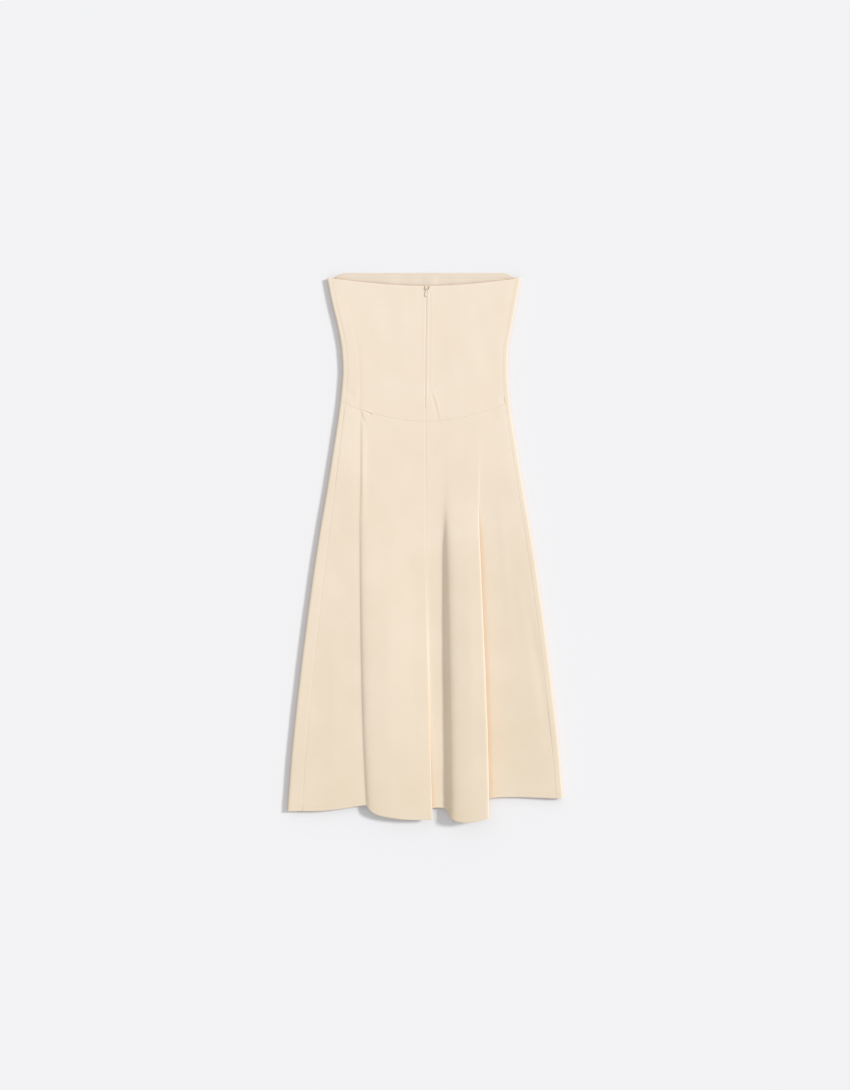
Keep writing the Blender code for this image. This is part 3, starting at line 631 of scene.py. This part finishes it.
def cloth_material(name, pale, deep, fold, hem_shade=0.0):
    """Cream cotton twill: fine diagonal wales, flecks and a soft mottle between two tones.

    The tone is painted deeper towards the hem as shade, by the given amount per metre, and turns to the painted fold
    shade colour in hollows.
    """
    made, nodes, links, shader = new_material(name, 0.88, 0.25)
    shader.inputs["Sheen Weight"].default_value = 0.12
    shader.inputs["Sheen Roughness"].default_value = 0.5
    place = nodes.new("ShaderNodeTexCoord").outputs["Object"]

    mottle = add_node(nodes, "ShaderNodeTexNoise", Scale=7.0, Detail=3.0, Roughness=0.55)
    links.new(place, mottle.inputs["Vector"])
    fleck = add_node(nodes, "ShaderNodeTexNoise", Scale=620.0, Detail=2.0, Roughness=0.6)
    stretch = add_node(nodes, "ShaderNodeMapping", Scale=(1.0, 0.28, 1.0))
    links.new(place, stretch.inputs["Vector"])
    links.new(stretch.outputs["Vector"], fleck.inputs["Vector"])
    split = nodes.new("ShaderNodeSeparateXYZ")
    links.new(place, split.inputs["Vector"])
    # Painted shade: the tone is made deeper lower down the dress, per metre
    height = weighed(nodes, links, split.outputs["Y"], -hem_shade, mottle.outputs["Fac"])
    tone = weighed(nodes, links, fleck.outputs["Fac"], 0.3, height)
    spread = add_node(nodes, "ShaderNodeMapRange", From_Min=0.0, From_Max=1.3)
    links.new(tone, spread.inputs["Value"])
    tones = nodes.new("ShaderNodeMix")
    tones.data_type = "RGBA"
    tones.inputs["A"].default_value = (*pale, 1.0)
    tones.inputs["B"].default_value = (*deep, 1.0)
    links.new(spread.outputs["Result"], tones.inputs["Factor"])

    # Painted shade: where ambient occlusion finds a hollow, the colour turns towards the painted fold shade colour
    shade_occlusion = add_node(nodes, "ShaderNodeAmbientOcclusion", Distance=FOLD_SHADE_REACH)
    unshaded_share = add_node(nodes, "ShaderNodeMapRange", From_Min=FOLD_SHADE_DEEP, From_Max=FOLD_SHADE_OPEN)
    links.new(shade_occlusion.outputs["AO"], unshaded_share.inputs["Value"])
    depth = nodes.new("ShaderNodeMix")
    depth.data_type = "RGBA"
    depth.inputs["A"].default_value = (*fold, 1.0)
    links.new(tones.outputs["Result"], depth.inputs["B"])
    links.new(unshaded_share.outputs["Result"], depth.inputs["Factor"])
    links.new(depth.outputs["Result"], shader.inputs["Base Color"])

    turn = add_node(nodes, "ShaderNodeMapping", Rotation=(0.0, 0.0, math.radians(27)))
    links.new(place, turn.inputs["Vector"])
    wale = add_node(nodes, "ShaderNodeTexWave", Scale=420.0, Distortion=1.2, Detail=2.0, Detail_Scale=1.5)
    links.new(turn.outputs["Vector"], wale.inputs["Vector"])
    yarn = add_node(nodes, "ShaderNodeTexNoise", Scale=1500.0, Detail=2.0, Roughness=0.5)
    links.new(place, yarn.inputs["Vector"])
    relief = add_node(nodes, "ShaderNodeBump", Strength=0.35, Distance=0.00016)
    links.new(weighed(nodes, links, yarn.outputs["Fac"], 0.6, wale.outputs["Fac"]), relief.inputs["Height"])
    links.new(relief.outputs["Normal"], shader.inputs["Normal"])
    return made


def ribbed_material(name, colour, ribs, roughness, strength):
    """A woven tape or a twisted thread: one tone, with fine ribs in relief."""
    made, nodes, links, shader = new_material(name, roughness, 0.3)
    shader.inputs["Base Color"].default_value = (*colour, 1.0)
    place = nodes.new("ShaderNodeTexCoord").outputs["Object"]
    wave = add_node(nodes, "ShaderNodeTexWave", Scale=ribs, Distortion=0.6, Detail=1.0)
    wave.bands_direction = "DIAGONAL"
    links.new(place, wave.inputs["Vector"])
    relief = add_node(nodes, "ShaderNodeBump", Strength=strength, Distance=0.00012)
    links.new(wave.outputs["Fac"], relief.inputs["Height"])
    links.new(relief.outputs["Normal"], shader.inputs["Normal"])
    return made


def enamel_material():
    """Cream enamel on the zip's metal, with a fine grain, and edges that look rounded."""
    made, nodes, links, shader = new_material("zip_enamel", 0.32, 0.5)
    shader.inputs["Base Color"].default_value = (0.80, 0.72, 0.60, 1.0)
    shader.inputs["Coat Weight"].default_value = 0.4
    place = nodes.new("ShaderNodeTexCoord").outputs["Object"]
    grain = add_node(nodes, "ShaderNodeTexNoise", Scale=900.0, Detail=2.0)
    links.new(place, grain.inputs["Vector"])
    rounded = add_node(nodes, "ShaderNodeBevel", Radius=0.0004)
    relief = add_node(nodes, "ShaderNodeBump", Strength=0.12, Distance=0.00008)
    links.new(grain.outputs["Fac"], relief.inputs["Height"])
    links.new(rounded.outputs["Normal"], relief.inputs["Normal"])
    links.new(relief.outputs["Normal"], shader.inputs["Normal"])
    return made


# Light: one soft key from the right and a little above, and even fill all round
KEY_HEIGHT = 35.0
KEY_TURN = 18.4
KEY_SOFTNESS = 10.0
KEY_POWER = 2.26
FILL_POWER = 0.652


def make_stage():
    bpy.ops.mesh.primitive_plane_add(size=14.0, location=(0.0, 0.0, -0.0004))
    floor = bpy.context.object
    floor.name = "studio_floor"
    made, _, _, shader = new_material("studio_floor", 1.0, 0.0)
    shader.inputs["Base Color"].default_value = (0.84, 0.84, 0.856, 1.0)
    floor.data.materials.append(made)

    lamp = bpy.data.lights.new("key", "SUN")
    lamp.energy = KEY_POWER
    lamp.angle = math.radians(KEY_SOFTNESS)
    key = bpy.data.objects.new("key", lamp)
    bpy.context.scene.collection.objects.link(key)
    key.rotation_euler = (0.0, math.radians(90 - KEY_HEIGHT), math.radians(KEY_TURN))

    world = bpy.data.worlds.new("fill")
    bpy.context.scene.world = world
    world.use_nodes = True
    world.node_tree.nodes["Background"].inputs["Color"].default_value = (1.0, 1.0, 1.0, 1.0)
    world.node_tree.nodes["Background"].inputs["Strength"].default_value = FILL_POWER


# Camera: the photograph's whole height of 1090 pixels spans VIEW_HEIGHT at the dress
CAMERA_HEIGHT = 3.0
VIEW_HEIGHT = 2.18
CLOTH_HEIGHT = 0.01
VIEW_CENTRE_Y = 0.00317
SENSOR = 36.0


def make_camera():
    data = bpy.data.cameras.new("camera")
    data.sensor_width = SENSOR
    data.sensor_height = SENSOR
    data.lens = SENSOR * CAMERA_HEIGHT / VIEW_HEIGHT
    camera = bpy.data.objects.new("camera", data)
    camera.location = (0.0, VIEW_CENTRE_Y, CAMERA_HEIGHT + CLOTH_HEIGHT)
    bpy.context.scene.collection.objects.link(camera)
    bpy.context.scene.camera = camera
    bpy.context.scene.view_settings.view_transform = "Standard"
    bpy.context.scene.view_settings.look = "None"


def dress_up(piece, material, node=None):
    """The piece's material and the body it belongs to, and the CAD part it stands in for, which is hidden."""
    piece.data.materials.append(material)
    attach(piece, "dress")
    if node:
        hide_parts(node)


def make_dress():
    cloth = cloth_material("cream_twill", (0.891, 0.775, 0.648), (0.768, 0.645, 0.484), FOLD_SHADE_COLOUR, CLOTH_HEM_SHADE)
    lining = cloth_material("cream_facing", (0.83, 0.72, 0.60), (0.79, 0.68, 0.56), FOLD_SHADE_COLOUR)
    thread = ribbed_material("cream_thread", (0.83, 0.71, 0.57), 1100.0, 0.6, 0.5)
    tape = ribbed_material("cream_zip_tape", (0.80, 0.69, 0.55), 480.0, 0.8, 0.6)
    for half in ("bodice", "skirt"):
        for part in PANELS:
            panel, stitches = cloth_panel(part, half), []
            dress_up(panel, cloth, f"{half}_{part}")
            if half == "skirt":
                stitches = [hem_stitches(part)]
                dress_up(stitches[0], thread)

    facing, understitch = make_facing()
    dress_up(facing, lining, "neck_facing_front")
    dress_up(understitch, thread)

    for piece, coil in zip(*make_zip_tape()):
        dress_up(piece, tape, "zip_tape")
        dress_up(coil, thread)

    enamel = enamel_material()
    for node in ("zip_slider", "zip_pull_tab"):
        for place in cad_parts[node].material_slots:
            place.link = "OBJECT"
            place.material = enamel


make_camera()
make_stage()
make_dress()
